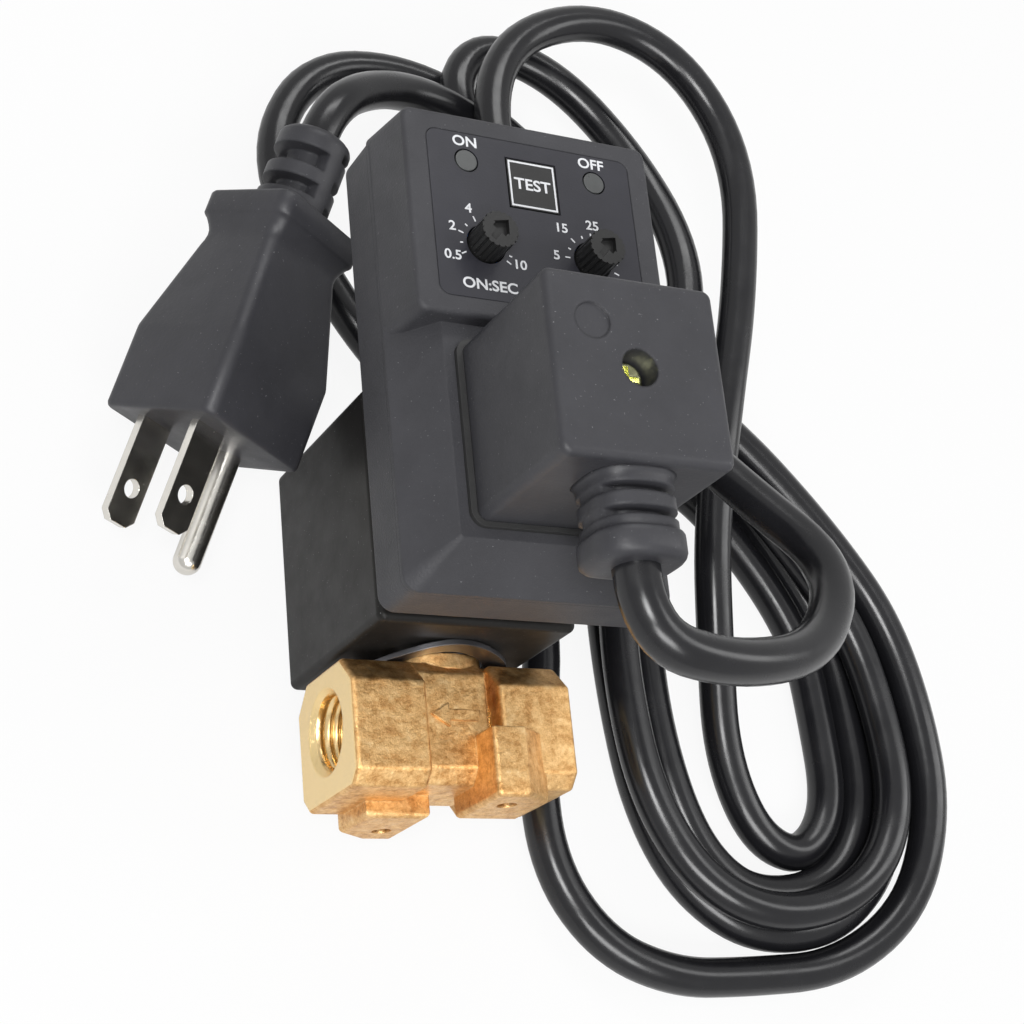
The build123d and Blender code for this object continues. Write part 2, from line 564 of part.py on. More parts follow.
def connector_strain_relief():
    y0 = -CONN_H / 2
    y1 = y0 - RELIEF_L
    bar = relief_bar(RELIEF_W, RELIEF_D, RELIEF_CORNER, y0, y1 + RELIEF_END_L)
    end = relief_bar(RELIEF_W + 2 * RELIEF_LIP, RELIEF_D + 2 * RELIEF_LIP, RELIEF_CORNER, y1 + RELIEF_END_L, y1)
    end = chamfer(end.faces().sort_by(Axis.Y)[0].edges(), 0.9)
    bar += end
    for k in range(2):
        top = y0 - SLOT_FIRST - k * SLOT_PITCH + SLOT_W / 2
        ring = relief_bar(RELIEF_W + 4, RELIEF_D + 4, RELIEF_CORNER, top, top - SLOT_W)
        core = relief_bar(RELIEF_W - 2 * SLOT_DEPTH, RELIEF_D - 2 * SLOT_DEPTH, RELIEF_CORNER - SLOT_DEPTH,
                          top + 1, top - SLOT_W - 1)
        web = block(-RELIEF_W, -RELIEF_W / 2 + WEB, top - SLOT_W - 1, top + 1, 0, CONN_FACE)
        bar -= ring - core - web
    return bar


def central_screw():
    head_top = CONN_FACE - SCREW_SUNK
    head = rod_z(SCREW_HEAD_R, head_top - SCREW_HEAD_H, head_top)
    head = fillet(head.edges().group_by(Axis.Z)[-1], 0.5)
    shank = rod_z(SCREW_R, PAD_TOP - INSERT_L + 1, head_top - SCREW_HEAD_H + 0.5)
    cross = block(-2.0, 2.0, -0.4, 0.4, head_top - 1.3, head_top + 1)
    return head + shank - cross - Rot(0, 0, 90) * cross


def screw_insert():
    body = rod_z(INSERT_R, PAD_TOP - INSERT_L, PAD_TOP)
    return body - rod_z(SCREW_R + RUN, PAD_TOP - INSERT_L - 1, PAD_TOP + 1)


# ---------------------------------------------------------------- plug, in its own axes and then laid down
# local X across the two blades, local Y the way the blades point, local Z from the blades to the earth pin
PLUG_AT = Plane(origin=(-41.5, 14.8, 19.6), x_dir=(0.433, -0.367, 0.823), z_dir=(0.842, -0.161, -0.515))


def plug_bar(width, depth, corner, y0, y1):
    face = Plane.XZ.offset(-y1) * RectangleRounded(width, depth, corner)
    return Pos(0, 0, PLUG_MID) * extrude(face, y1 - y0)


def blade(side, y0=None):
    y0 = -PRONG_BURIED if y0 is None else y0
    x = side * BLADE_PITCH / 2
    body = block(x - BLADE_T / 2, x + BLADE_T / 2, y0, BLADE_L, -BLADE_W / 2, BLADE_W / 2)
    tip = body.faces().sort_by(Axis.Y)[-1].edges().filter_by(Axis.X)
    body = chamfer(tip, 1.4)
    hole = Pos(x, BLADE_HOLE_AT, 0) * Rot(0, 90, 0) * Cylinder(BLADE_HOLE_R, 4 * BLADE_T)
    return body - hole


def earth_pin():
    straight = rod_y(EARTH_R, -PRONG_BURIED, EARTH_L - EARTH_R, 0, EARTH_OFF)
    return straight + Pos(0, EARTH_L - EARTH_R, EARTH_OFF) * Sphere(EARTH_R)


def plug_body():
    front = plug_bar(PLUG_W, PLUG_D, 2.2, -PLUG_FACE_L, 0)
    wide = Plane.XZ.offset(PLUG_FACE_L) * RectangleRounded(PLUG_W, PLUG_D, 2.2)
    waist = Plane.XZ.offset(PLUG_L) * RectangleRounded(PLUG_WAIST_W, PLUG_WAIST_D, 2.2)
    taper = Pos(0, 0, PLUG_MID) * loft([wide, waist])
    flange = plug_bar(FLANGE_W, FLANGE_D, 2.6, -PLUG_L - FLANGE_T, -PLUG_L)
    flange = fillet(flange.edges().filter_by(GeomType.LINE).filter_by(Plane.XZ) , 0.7)
    body = fillet(front.faces().sort_by(Axis.Y)[-1].edges(), 0.7) + taper + flange
    return cut_all(body, [blade(-1), blade(1), earth_pin()])


def plug_strain_relief():
    start = -PLUG_L - FLANGE_T
    total = RINGS * (RING_T + RING_GAP)
    body = rod_y(RING_CORE_R, start - total, start, 0, PLUG_MID)
    for k in range(RINGS):
        y1 = start - k * (RING_T + RING_GAP) - RING_GAP
        disc = rod_y(RING_R - 0.25 * k, y1 - RING_T, y1, 0, PLUG_MID)
        body += fillet(disc.edges(), 0.6)
    return body


# ---------------------------------------------------------------- cord
RELIEF_END = (0, -CONN_H / 2 - RELIEF_L + Y_SHIFT, RELIEF_Z)
PLUG_END_L = PLUG_L + FLANGE_T + RINGS * (RING_T + RING_GAP)

# strain relief, small loop beside the connector, behind the timer, over the top and down into the coil
LEAD = [RELIEF_END, (0, -41, RELIEF_Z), (16, -43.5, 83.5), (37, -38, 76.5), (49, -21, 68.5), (41, -5, 58),
        (31, 16, 46), (26, 42, 33), (17, 74, 27), (21, 100, 26.6), (43, 112, 26.6), (65, 106, 26), (76, 83, 25),
        (72, 54, 23), (66, 29, 20.5), (62, 6, 16.5), (63, -16, 11), (64, -34, 7), (71, -52, 5)]
# second bight over the top of the coil
BIGHT = [(57, 35, 9), (47, 56, 11), (35, 76, 11.2), (18, 93, 11.2), (25, 109, 11.2), (45, 107, 11.2),
         (60, 90, 12.5), (66, 67, 18), (62, 45, 18.5), (53, 22, 10)]
# bight that leaves the coil low, goes over the top and passes under the timer to the coil's foot
LEFT = [(66, 36, 4), (62, 56, 3.6), (50, 77, 3.6), (36, 95, 3.6), (14, 105, 3.6), (-8, 101, 3.6), (-18, 79, 3.6),
        (-8, 56, 3.6), (4, 38, 3.6), (24, 20, 3.6), (32, -8, 3.6), (27, -34, 3.6), (26, -54, 3.6), (34, -70, 3.6),
        (53, -74, 3.6)]


def plug_point(distance):
    """Point on the cord's axis behind the plug, in the row frame."""
    return tuple(PLUG_AT.from_local_coords(Vector(0, -distance, PLUG_MID)))


TAIL = [(46, 36, 9), (38, 57, 14), (31, 75, 18.9), (20, 87, 18.9), (7, 90, 22), (-6, 86, 29),
        plug_point(PLUG_END_L + 9), plug_point(PLUG_END_L)]


def cord_tube(name, points):
    """Straight runs joined by tangent arcs, each as large as its two runs allow."""
    points = [Vector(*p) for p in points]
    radii = []
    for a, b, c in zip(points, points[1:], points[2:]):
        run = min((b - a).length, (c - b).length)
        radii.append(0.45 * run / tan(radians((b - a).get_angle(c - b)) / 2))
    path = FilletPolyline(*points, radius=radii)
    tube = sweep(Plane(path @ 0, z_dir=path % 0) * Circle(CORD_D / 2), path=path)
    area = pi * CORD_D ** 2 / 4
    print(f"{name}: length {path.length:.0f}, volume ratio {tube.volume / (area * path.length):.4f}, radii",
          " ".join(f"{r:.0f}" for r in radii))
    return tube


def cord_coil():
    """Outer form of the loose turns: a flattened ring, wider at the foot than at the crown."""
    outer = [((64, -48), 30), ((84, -50), 28), ((90, -18), 21), ((57, 22), 21)]
    inner = [((70, -38), 12), ((78, -36), 12), ((78, -12), 11), ((64, 10), 7)]
    faces = []
    for circles in (outer, inner):
        edges = [(Pos(*centre) * Circle(r)).edge() for centre, r in circles]
        faces.append(make_hull(edges))
    ring = extrude(faces[0], COIL_OF_CORD_H) - extrude(faces[1], COIL_OF_CORD_H)
    return fillet(ring.faces().sort_by(Axis.Z)[-1].edges() + ring.faces().sort_by(Axis.Z)[0].edges(), 3.0)


# ---------------------------------------------------------------- assembly


def build():
    """Every node in the row frame."""
    coil_pins = din_pins(COIL_D - 2, PAD_TOP + PIN_OUT)
    timer_pins = din_pins(BOARD_TOP, PLATEAU_Z + PIN_OUT)
    rear_sleeves = sleeves(SHELL_Z + WALL, SLEEVE_L)
    front_sleeves = sleeves(CONN_Z, PIN_OUT - 0.4)
    valve = {
        "valve_body": valve_body(),
        "armature_tube": armature_tube(),
        "tube_o_ring": tube_o_ring(),
        "fixed_core": fixed_core(),
        "plunger": plunger(),
        "plunger_seal": plunger_seal(),
        "plunger_spring": plunger_spring(),
        "coil_nut": coil_nut(),
        "wave_washer": wave_washer(),
        "coil_housing": coil_housing(),
        "coil_yoke": coil_yoke(),
        "coil_bobbin": coil_bobbin(),
        "coil_winding": coil_winding(),
        "coil_pin_line": coil_pins["line"],
        "coil_pin_neutral": coil_pins["neutral"],
        "coil_pin_earth": coil_pins["earth"],
        "screw_insert": screw_insert(),
        "coil_gasket": gasket(PAD_TOP, REAR_GASKET_T),
        "timer_rear_shell": timer_rear_shell(),
        "rear_socket": rear_socket(),
        "rear_contact_line": rear_sleeves["line"],
        "rear_contact_neutral": rear_sleeves["neutral"],
        "rear_contact_earth": rear_sleeves["earth"],
        "circuit_board": circuit_board(),
        "relay": relay(),
        "capacitor": capacitor(),
        "on_time_trimmer": potentiometer(-1),
        "off_time_trimmer": potentiometer(1),
        "on_time_knob": knob(-1),
        "off_time_knob": knob(1),
        "led_on": led(-1),
        "led_off": led(1),
        "test_switch": test_switch(),
        "test_button": test_button(),
        "timer_front_cover": timer_front_cover(),
        "panel_label": panel_label(),
        "timer_pin_line": timer_pins["line"],
        "timer_pin_neutral": timer_pins["neutral"],
        "timer_pin_earth": timer_pins["earth"],
        "connector_gasket": gasket(PLATEAU_Z, FRONT_GASKET_T),
        "connector_housing": connector_housing(),
        "connector_strain_relief": connector_strain_relief(),
        "connector_contact_line": front_sleeves["line"],
        "connector_contact_neutral": front_sleeves["neutral"],
        "connector_contact_earth": front_sleeves["earth"],
        "central_screw": central_screw(),
    }
    nodes = {name: Pos(0, Y_SHIFT, 0) * solid for name, solid in valve.items()}
    plug = {
        "plug_body": plug_body(),
        "plug_strain_relief": plug_strain_relief(),
        "blade_line": blade(-1),
        "blade_neutral": blade(1),
        "earth_pin": earth_pin(),
    }
    nodes.update({name: PLUG_AT * solid for name, solid in plug.items()})
    nodes["cord_lead"] = cord_tube("cord_lead", LEAD)
    nodes["cord_bight_top"] = cord_tube("cord_bight_top", BIGHT)
    nodes["cord_bight_left"] = cord_tube("cord_bight_left", LEFT)
    nodes["cord_tail"] = cord_tube("cord_tail", TAIL)
    nodes["cord_coil"] = cord_coil()
    return nodes


if __name__ == "__main__":
    os.makedirs("parts", exist_ok=True)
    for node, solid in build().items():
        export_step(solid, f"parts/{node}.step")
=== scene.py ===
import json
from math import cos, pi, radians, sin

import bmesh
import bpy
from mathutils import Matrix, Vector


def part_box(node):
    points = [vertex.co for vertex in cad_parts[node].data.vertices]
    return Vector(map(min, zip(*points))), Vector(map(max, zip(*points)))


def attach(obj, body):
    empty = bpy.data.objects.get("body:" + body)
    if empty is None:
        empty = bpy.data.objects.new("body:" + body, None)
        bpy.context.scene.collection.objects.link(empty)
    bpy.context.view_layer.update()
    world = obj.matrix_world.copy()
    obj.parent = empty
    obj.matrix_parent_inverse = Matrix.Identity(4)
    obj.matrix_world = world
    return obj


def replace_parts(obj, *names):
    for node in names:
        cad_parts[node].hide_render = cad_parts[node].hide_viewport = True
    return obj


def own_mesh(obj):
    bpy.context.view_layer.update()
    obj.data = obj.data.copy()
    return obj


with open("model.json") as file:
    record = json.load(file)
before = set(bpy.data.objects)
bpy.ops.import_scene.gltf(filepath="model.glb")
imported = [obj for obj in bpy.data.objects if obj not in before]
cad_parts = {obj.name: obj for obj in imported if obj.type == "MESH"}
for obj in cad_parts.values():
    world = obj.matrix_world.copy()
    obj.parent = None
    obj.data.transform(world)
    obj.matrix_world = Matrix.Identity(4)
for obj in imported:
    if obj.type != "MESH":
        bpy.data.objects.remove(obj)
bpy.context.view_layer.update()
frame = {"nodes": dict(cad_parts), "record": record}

MM = 0.001
scene = bpy.context.scene

# millimetres in the row frame
AXIS_Z, PORT_Y = 19.6, -36.375      # axis of the ports
BODY_HALF_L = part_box("valve_body")[1][0] / MM
CORD_R = 3.5


# ---------------------------------------------------------------- camera
cam_data = bpy.data.cameras.new("camera")
cam_data.lens, cam_data.sensor_width = 70.2, 36
cam_data.clip_start = 0.01
cam = bpy.data.objects.new("camera", cam_data)
cam.location = (-0.13993, -0.11987, 0.30614)
cam.rotation_euler = (radians(23.710), radians(-26.702), radians(-6.133))
scene.collection.objects.link(cam)
scene.camera = cam


# ---------------------------------------------------------------- materials


def graph(name):
    material = bpy.data.materials.new(name)
    material.use_nodes = True
    tree = material.node_tree
    return material, tree, tree.nodes["Principled BSDF"]


def coords(tree):
    return tree.nodes.new("ShaderNodeTexCoord").outputs["Object"]


def noise_node(tree, scale, detail=4, rough=0.6, vector=None):
    node = tree.nodes.new("ShaderNodeTexNoise")
    node.inputs["Scale"].default_value = scale
    node.inputs["Detail"].default_value = detail
    node.inputs["Roughness"].default_value = rough
    tree.links.new(vector or coords(tree), node.inputs["Vector"])
    return node.outputs["Fac"]


def ramp(tree, factor, stops):
    node = tree.nodes.new("ShaderNodeValToRGB")
    elements = node.color_ramp.elements
    while len(elements) < len(stops):
        elements.new(0.5)
    for element, (position, colour) in zip(elements, stops):
        element.position = position
        element.color = (*colour, 1) if len(colour) == 3 else (colour[0],) * 3 + (1,)
    tree.links.new(factor, node.inputs["Fac"])
    return node.outputs["Color"]


def math_node(tree, operation, *values):
    """Math node whose inputs are each a socket or a number."""
    node = tree.nodes.new("ShaderNodeMath")
    node.operation = operation
    for socket, value in zip(node.inputs, values):
        if isinstance(value, (int, float)):
            socket.default_value = value
        else:
            tree.links.new(value, socket)
    return node.outputs[0]


def bump(tree, shader, height, strength, distance, normal=None):
    node = tree.nodes.new("ShaderNodeBump")
    node.inputs["Strength"].default_value = strength
    node.inputs["Distance"].default_value = distance
    tree.links.new(height, node.inputs["Height"])
    if normal is not None:
        tree.links.new(normal, node.inputs["Normal"])
    tree.links.new(node.outputs["Normal"], shader.inputs["Normal"])
    return node.outputs["Normal"]


def mix_colour(tree, factor, base, colour):
    """The linked base colour, and one plain colour over it by factor."""
    node = tree.nodes.new("ShaderNodeMix")
    node.data_type = "RGBA"
    tree.links.new(factor, node.inputs["Factor"])
    tree.links.new(base, node.inputs[6])
    node.inputs[7].default_value = (*colour, 1)
    return node.outputs[2]


def soft_edge(tree, radius):
    node = tree.nodes.new("ShaderNodeBevel")
    node.samples = 4
    node.inputs["Radius"].default_value = radius
    return node.outputs["Normal"]


def plastic(name, colour, rough, grain, depth, spots=0.02, edge=0.0004, spec=0.5, dust=False):
    """Moulded plastic: fine grain in the surface, faint change of tone and gloss, and sparse pale specks."""
    material, tree, shader = graph(name)
    tone = noise_node(tree, 60, 6, 0.7)
    dark = [c * (1 - spots * 8) for c in colour]
    pale = [c * (1 + spots * 8) for c in colour]
    base = ramp(tree, tone, [(0.3, dark), (0.7, pale)])
    if dust:
        specks = ramp(tree, noise_node(tree, 2600, 1, 0.5), [(0.74, (0.0,)), (0.80, (0.6,))])
        base = mix_colour(tree, specks, base, (0.22, 0.22, 0.23))
    tree.links.new(base, shader.inputs["Base Color"])
    gloss = ramp(tree, noise_node(tree, 180, 5), [(0.3, (rough - 0.06,)), (0.75, (rough + 0.07,))])
    tree.links.new(gloss, shader.inputs["Roughness"])
    shader.inputs["Specular IOR Level"].default_value = spec
    bump(tree, shader, noise_node(tree, grain, 3), depth, 0.00012, soft_edge(tree, edge))
    return material


def metal(name, colour, rough, grain, depth, tint=0.08, distance=0.0001, edge=0.0002):
    material, tree, shader = graph(name)
    shader.inputs["Metallic"].default_value = 1
    tone = noise_node(tree, 90, 6, 0.7)
    dark = [c * (1 - tint) for c in colour]
    pale = [min(1, c * (1 + tint)) for c in colour]
    tree.links.new(ramp(tree, tone, [(0.3, dark), (0.7, pale)]), shader.inputs["Base Color"])
    gloss = ramp(tree, noise_node(tree, 240, 5), [(0.3, (rough - 0.05,)), (0.7, (rough + 0.08,))])
    tree.links.new(gloss, shader.inputs["Roughness"])
    bump(tree, shader, noise_node(tree, grain, 4), depth, distance, soft_edge(tree, edge))
    return material


def cast_brass(face_x, bore_at, bore_r):
    """Blasted casting with darker patches. The port faces and bores are bright, as machined."""
    material, tree, shader = graph("brass_cast")
    shader.inputs["Metallic"].default_value = 1
    place = coords(tree)
    patch = noise_node(tree, 420, 8, 0.85, place)
    body = ramp(tree, patch, [(0.30, (0.29, 0.13, 0.041)), (0.43, (0.60, 0.325, 0.118)),
                              (0.56, (0.84, 0.545, 0.245)), (0.76, (0.97, 0.76, 0.44))])
    axes = tree.nodes.new("ShaderNodeSeparateXYZ")
    tree.links.new(place, axes.inputs["Vector"])
    on_face = math_node(tree, "GREATER_THAN", math_node(tree, "ABSOLUTE", axes.outputs["X"]), face_x - 0.0001)
    # the bore, by its distance from the axis of the ports
    flat = tree.nodes.new("ShaderNodeVectorMath")
    flat.operation = "MULTIPLY"
    flat.inputs[1].default_value = (0, 1, 1)
    tree.links.new(place, flat.inputs[0])
    away = tree.nodes.new("ShaderNodeVectorMath")
    away.operation = "DISTANCE"
    away.inputs[1].default_value = bore_at
    tree.links.new(flat.outputs[0], away.inputs[0])
    in_bore = math_node(tree, "LESS_THAN", away.outputs["Value"], bore_r)
    machined = math_node(tree, "MAXIMUM", on_face, in_bore)
    tree.links.new(mix_colour(tree, machined, body, (0.96, 0.72, 0.36)), shader.inputs["Base Color"])
    cast_gloss = ramp(tree, noise_node(tree, 500, 4, 0.6, place), [(0.3, (0.34,)), (0.7, (0.52,))])
    gloss = tree.nodes.new("ShaderNodeMix")
    tree.links.new(machined, gloss.inputs["Factor"])
    tree.links.new(cast_gloss, gloss.inputs[2])
    gloss.inputs[3].default_value = 0.24
    tree.links.new(gloss.outputs[0], shader.inputs["Roughness"])
    coarse = bump(tree, shader, noise_node(tree, 1100, 5, 0.75, place), 0.7, 0.0002, soft_edge(tree, 0.0004))
    bump(tree, shader, noise_node(tree, 2800, 3, 0.6, place), 0.35, 0.0001, coarse)
    return material


MAT = {
    "housing": plastic("timer_plastic", (0.0362, 0.0362, 0.0406), 0.52, 2600, 0.75, spec=0.32, dust=True),
    "moulding": plastic("connector_plastic", (0.0305, 0.0305, 0.0348), 0.42, 1500, 0.30, edge=0.0007,
                        spec=0.36, dust=True),
    "coil": plastic("coil_plastic", (0.013, 0.0123, 0.0116), 0.40, 700, 0.14, spec=0.17, dust=True),
    "cord": plastic("cord_pvc", (0.0087, 0.0087, 0.0101), 0.24, 500, 0.05, edge=0.0001, spec=0.45),
    "label": plastic("label_film", (0.0203, 0.0203, 0.0261), 0.40, 3000, 0.15, edge=0.0001, spec=0.35),
    "knob": plastic("knob_plastic", (0.0145, 0.0145, 0.0145), 0.36, 1800, 0.15, edge=0.0001, spec=0.38),
    "lamp": plastic("lamp_lens", (0.0551, 0.0579, 0.0579), 0.30, 900, 0.10, edge=0.0002),
    "seal": plastic("seal_rubber", (0.0217, 0.0217, 0.0217), 0.55, 1200, 0.20, edge=0.0001),
    "bobbin": plastic("bobbin_nylon", (0.70, 0.67, 0.58), 0.45, 900, 0.10),
    "board": plastic("board_laminate", (0.03, 0.16, 0.07), 0.35, 900, 0.08, edge=0.0001),
    "relay": plastic("relay_case", (0.03, 0.09, 0.28), 0.40, 900, 0.08),
    "brass": cast_brass(BODY_HALF_L * MM, (0, PORT_Y * MM, AXIS_Z * MM), 7.4 * MM),
    "steel": metal("turned_steel", (0.62, 0.62, 0.63), 0.30, 700, 0.15),
    "plated": metal("nickel_plate", (0.78, 0.755, 0.70), 0.21, 300, 0.03),
    "zinc": metal("yellow_zinc", (0.96, 0.97, 0.56), 0.24, 200, 0.04),
    "washer": metal("dark_spring_steel", (0.16, 0.16, 0.17), 0.38, 700, 0.20),
    "copper": metal("copper_wire", (0.78, 0.40, 0.22), 0.35, 700, 0.2),
    "contact": metal("contact_brass", (0.86, 0.68, 0.36), 0.28, 700, 0.1),
}
SLOT = {p["node"]: p["material_slot"] for p in frame["record"]["subparts"]}
for name, node in frame["nodes"].items():
    material = MAT[SLOT[name]]
    for i in range(max(1, len(node.material_slots))):
        if not node.material_slots:
            node.data.materials.append(material)
        node.material_slots[i].material = material


def flat_material(name, colour, rough):
    material, tree, shader = graph(name)
    tone = ramp(tree, noise_node(tree, 900, 4), [(0.3, [c * 0.94 for c in colour]), (0.7, colour)])
    tree.links.new(tone, shader.inputs["Base Color"])
    shader.inputs["Roughness"].default_value = rough
    return material


INK = flat_material("white_ink", (0.60, 0.61, 0.63), 0.5)
BRASS_CUT = metal("brass_cut", (0.90, 0.66, 0.33), 0.24, 900, 0.2, 0.10)


def add(name, verts, faces, material, body="valve", smooth=False):
    mesh = bpy.data.meshes.new(name)
    mesh.from_pydata([tuple(v) for v in verts], [], faces)
    mesh.update()
    if smooth:
        mesh.shade_smooth()
    mesh.materials.append(material)
    piece = bpy.data.objects.new(name, mesh)
    scene.collection.objects.link(piece)
    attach(piece, body)
    return piece


def plate(name, outline, z0, z1, material, body="valve", holes=()):
    """Flat shape with thickness: outline in XY, filled as a curve so that it may have holes."""
    curve = bpy.data.curves.new(name, "CURVE")
    curve.dimensions = "2D"
    curve.fill_mode = "BOTH"
    for loop in (outline, *holes):
        spline = curve.splines.new("POLY")
        spline.points.add(len(loop) - 1)
        for p, (x, y) in zip(spline.points, loop):
            p.co = (x * MM, y * MM, 0, 1)
        spline.use_cyclic_u = True
    curve.extrude = (z1 - z0) / 2 * MM
    curve.materials.append(material)
    piece = bpy.data.objects.new(name, curve)
    piece.location.z = (z0 + z1) / 2 * MM
    scene.collection.objects.link(piece)
    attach(piece, body)
    return piece


def skin(name, rings, material):
    """Closed shape through rings of points that all have the same count."""
    count = len(rings[0])
    verts = [p for ring in rings for p in ring]
    faces = []
    for j in range(len(rings) - 1):
        for k in range(count):
            q, r = j * count + k, j * count + (k + 1) % count
            faces.append((q, r, r + count, q + count))
    faces.append(tuple(reversed(range(count))))
    faces.append(tuple(range((len(rings) - 1) * count, len(rings) * count)))
    piece = add(name, verts, faces, material, smooth=True)
    solid = bmesh.new()
    solid.from_mesh(piece.data)
    if solid.calc_volume(signed=True) < 0:
        piece.data.flip_normals()
    solid.free()
    piece.data.set_sharp_from_angle(angle=radians(40))
    return piece


def smooth_step(a, b, x):
    t = max(0.0, min(1.0, (x - a) / (b - a)))
    return t * t * (3 - 2 * t)


# ---------------------------------------------------------------- plug
PLUG_AT = Vector((-41.5, 14.8, 19.6))
PLUG_X, PLUG_Z = Vector((0.433, -0.367, 0.823)).normalized(), Vector((0.842, -0.161, -0.515)).normalized()
PLUG_WAY = -PLUG_Z.cross(PLUG_X)
PLUG_MID = 5.2                  # from the blades to the middle of the grip
GRIP_L, PLUG_L = 41.8, 57.5     # face to the end of the collar, face to the end of the strain relief


def plug_point(x, z, distance):
    """Point in metres: x across the blades, z towards the earth pin, distance from the face."""
    return (PLUG_AT + PLUG_X * x + PLUG_Z * (PLUG_MID + z) + PLUG_WAY * distance) * MM


def plug_grip():
    """Body that narrows to a neck and flares again into a square collar."""
    sections = [(0, 24.2, 22.8, 1.6), (0.2, 24.9, 23.5, 1.9), (0.7, 25.4, 24.0, 2.2),
                (14.7, 25.4, 24.0, 2.2), (15.3, 25.2, 23.9, 2.2), (31.8, 17.5, 18.6, 2.2),
                (32.8, 17.1, 18.2, 2.3), (33.8, 16.9, 18.0, 2.4), (34.8, 17.1, 18.1, 2.4),
                (35.8, 17.8, 18.7, 2.4), (36.7, 18.7, 19.4, 2.4), (37.3, 19.4, 19.9, 2.4),
                (37.35, 19.7, 20.2, 2.5), (37.65, 20.1, 20.6, 2.6), (41.2, 20.1, 20.6, 2.6),
                (41.6, 19.7, 20.2, 2.5), (GRIP_L, 18.9, 19.4, 2.2)]
    rings = []
    for distance, w, d, r in sections:
        ring = []
        for quarter, (sx, sz) in enumerate(((1, 1), (-1, 1), (-1, -1), (1, -1))):
            for k in range(8):
                a = pi / 2 * (quarter + k / 7)
                x, z = sx * (w / 2 - r) + r * cos(a), sz * (d / 2 - r) + r * sin(a)
                ring.append(plug_point(x, z, distance))
        rings.append(ring)
    piece = skin("plug_grip", rings, MAT["moulding"])
    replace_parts(piece, "plug_body")
    return piece


def plug_relief():
    """Round tail with two ribs and slots between them, staggered on its two faces."""
    radius, core, window = 6.5, 3.8, radians(72)
    slots = [(3.2, 5.7, -1), (8.3, 11.6, -1), (1.2, 3.0, 1), (6.0, 8.0, 1), (11.9, 13.5, 1)]
    length = PLUG_L - GRIP_L
    stops = {-0.5, 0.4, length - 1.3, length - 0.7, length - 0.25, length}
    for a, b, _ in slots:
        stops |= {a - 0.06, a + 0.06, b - 0.06, b + 0.06}
    rings = []
    for along in sorted(stops):
        end = max(0.0, (along - (length - 1.3)) / 1.3)
        ring = []
        for k in range(80):
            a = 2 * pi * k / 80
            r = radius + 0.3 * max(0.0, 0.4 - along) - 1.2 * end * end
            for a0, b0, side in slots:
                if a0 < along < b0:
                    away = abs((a - side * pi / 2 + pi) % (2 * pi) - pi)
                    r -= (radius - core) * (1 - smooth_step(window - 0.09, window + 0.09, away))
            ring.append(plug_point(r * cos(a), r * sin(a), GRIP_L + along))
        rings.append(ring)
    piece = skin("plug_relief", rings, MAT["moulding"])
    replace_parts(piece, "plug_strain_relief")
    return piece


# ---------------------------------------------------------------- cord


def millimetres(points):
    return [Vector(p) * MM for p in points]


RELIEF_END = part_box("connector_strain_relief")
EXIT = (0, RELIEF_END[0][1] / MM, (RELIEF_END[0][2] + RELIEF_END[1][2]) / 2 / MM)
PLUG_END = plug_point(0, 0, PLUG_L) / MM
LEAD = [EXIT, (0, -41, EXIT[2]), (16, -43.5, 83.5), (37, -38, 76.5), (49, -21, 68.5), (41, -5, 58),
        (31, 16, 46), (26, 42, 33), (17, 74, 27), (22, 98, 26.6), (43, 109.5, 26.6), (64, 104, 26),
        (75.5, 83, 25), (72, 54, 23), (66, 29, 20.5), (62, 6, 16.5), (63, -16, 11), (64, -34, 7),
        (70, -48, 4.5)]
LEFT = [(73, 31, 3.7), (67, 44, 3.7), (60, 60, 3.6), (50, 77, 3.6), (36, 95, 3.6), (14, 105, 3.6),
        (-8, 101, 3.6), (-18, 79, 3.6), (-8, 56, 3.6), (4, 38, 3.6), (24, 20, 3.6), (32, -8, 3.6),
        (27, -34, 3.6), (27, -54, 3.6), (36, -68, 3.6), (50, -74, 3.6)]
BIGHT = [(70, 32, 11), (60, 42, 11), (47, 57, 11), (35, 76, 11.2), (18, 93, 11.2), (25, 109, 11.2),
         (43, 105.5, 11.2), (58, 88, 12.5), (64, 65, 18), (61, 44, 18.5), (53, 28, 17)]
TAIL = [(64, 25, 11), (54, 33, 11), (44, 44, 11.5), (38, 58, 14.5), (31, 73, 18.9), (20, 84.5, 19),
        (7, 87, 21.5), (-6, 82, 27.5), PLUG_END + PLUG_WAY * 7, PLUG_END]

# the loose turns: middle of the band, counterclockwise from the top left
BAND = [(47, 14), (46, -4), (46, -24), (48, -43), (55, -57), (67, -64), (82, -63), (94, -56), (101, -43),
        (101, -26), (98, -9), (90, 5), (78, 20), (66, 29), (54, 27)]
LANE, LOW, HIGH = 7.5, 3.6, 10.9    # spacing of the lanes, heights of the two layers


def turn(start, lanes, levels):
    """One pass round the band. Lanes count outwards from its middle; the shorter list is stretched."""
    out = []
    n, count = len(BAND), max(len(lanes), len(levels))

    def at(values, k):
        x = k * (len(values) - 1) / max(1, count - 1)
        i = min(int(x), len(values) - 2) if len(values) > 1 else 0
        return values[i] + (values[min(i + 1, len(values) - 1)] - values[i]) * (x - i)

    for k in range(count):
        a, b, c = (Vector(BAND[(start + k + d) % n]) for d in (-1, 0, 1))
        t = (c - a).normalized()
        p = b + Vector((t.y, -t.x)) * at(lanes, k) * LANE
        out.append((p.x, p.y, at(levels, k)))
    return out


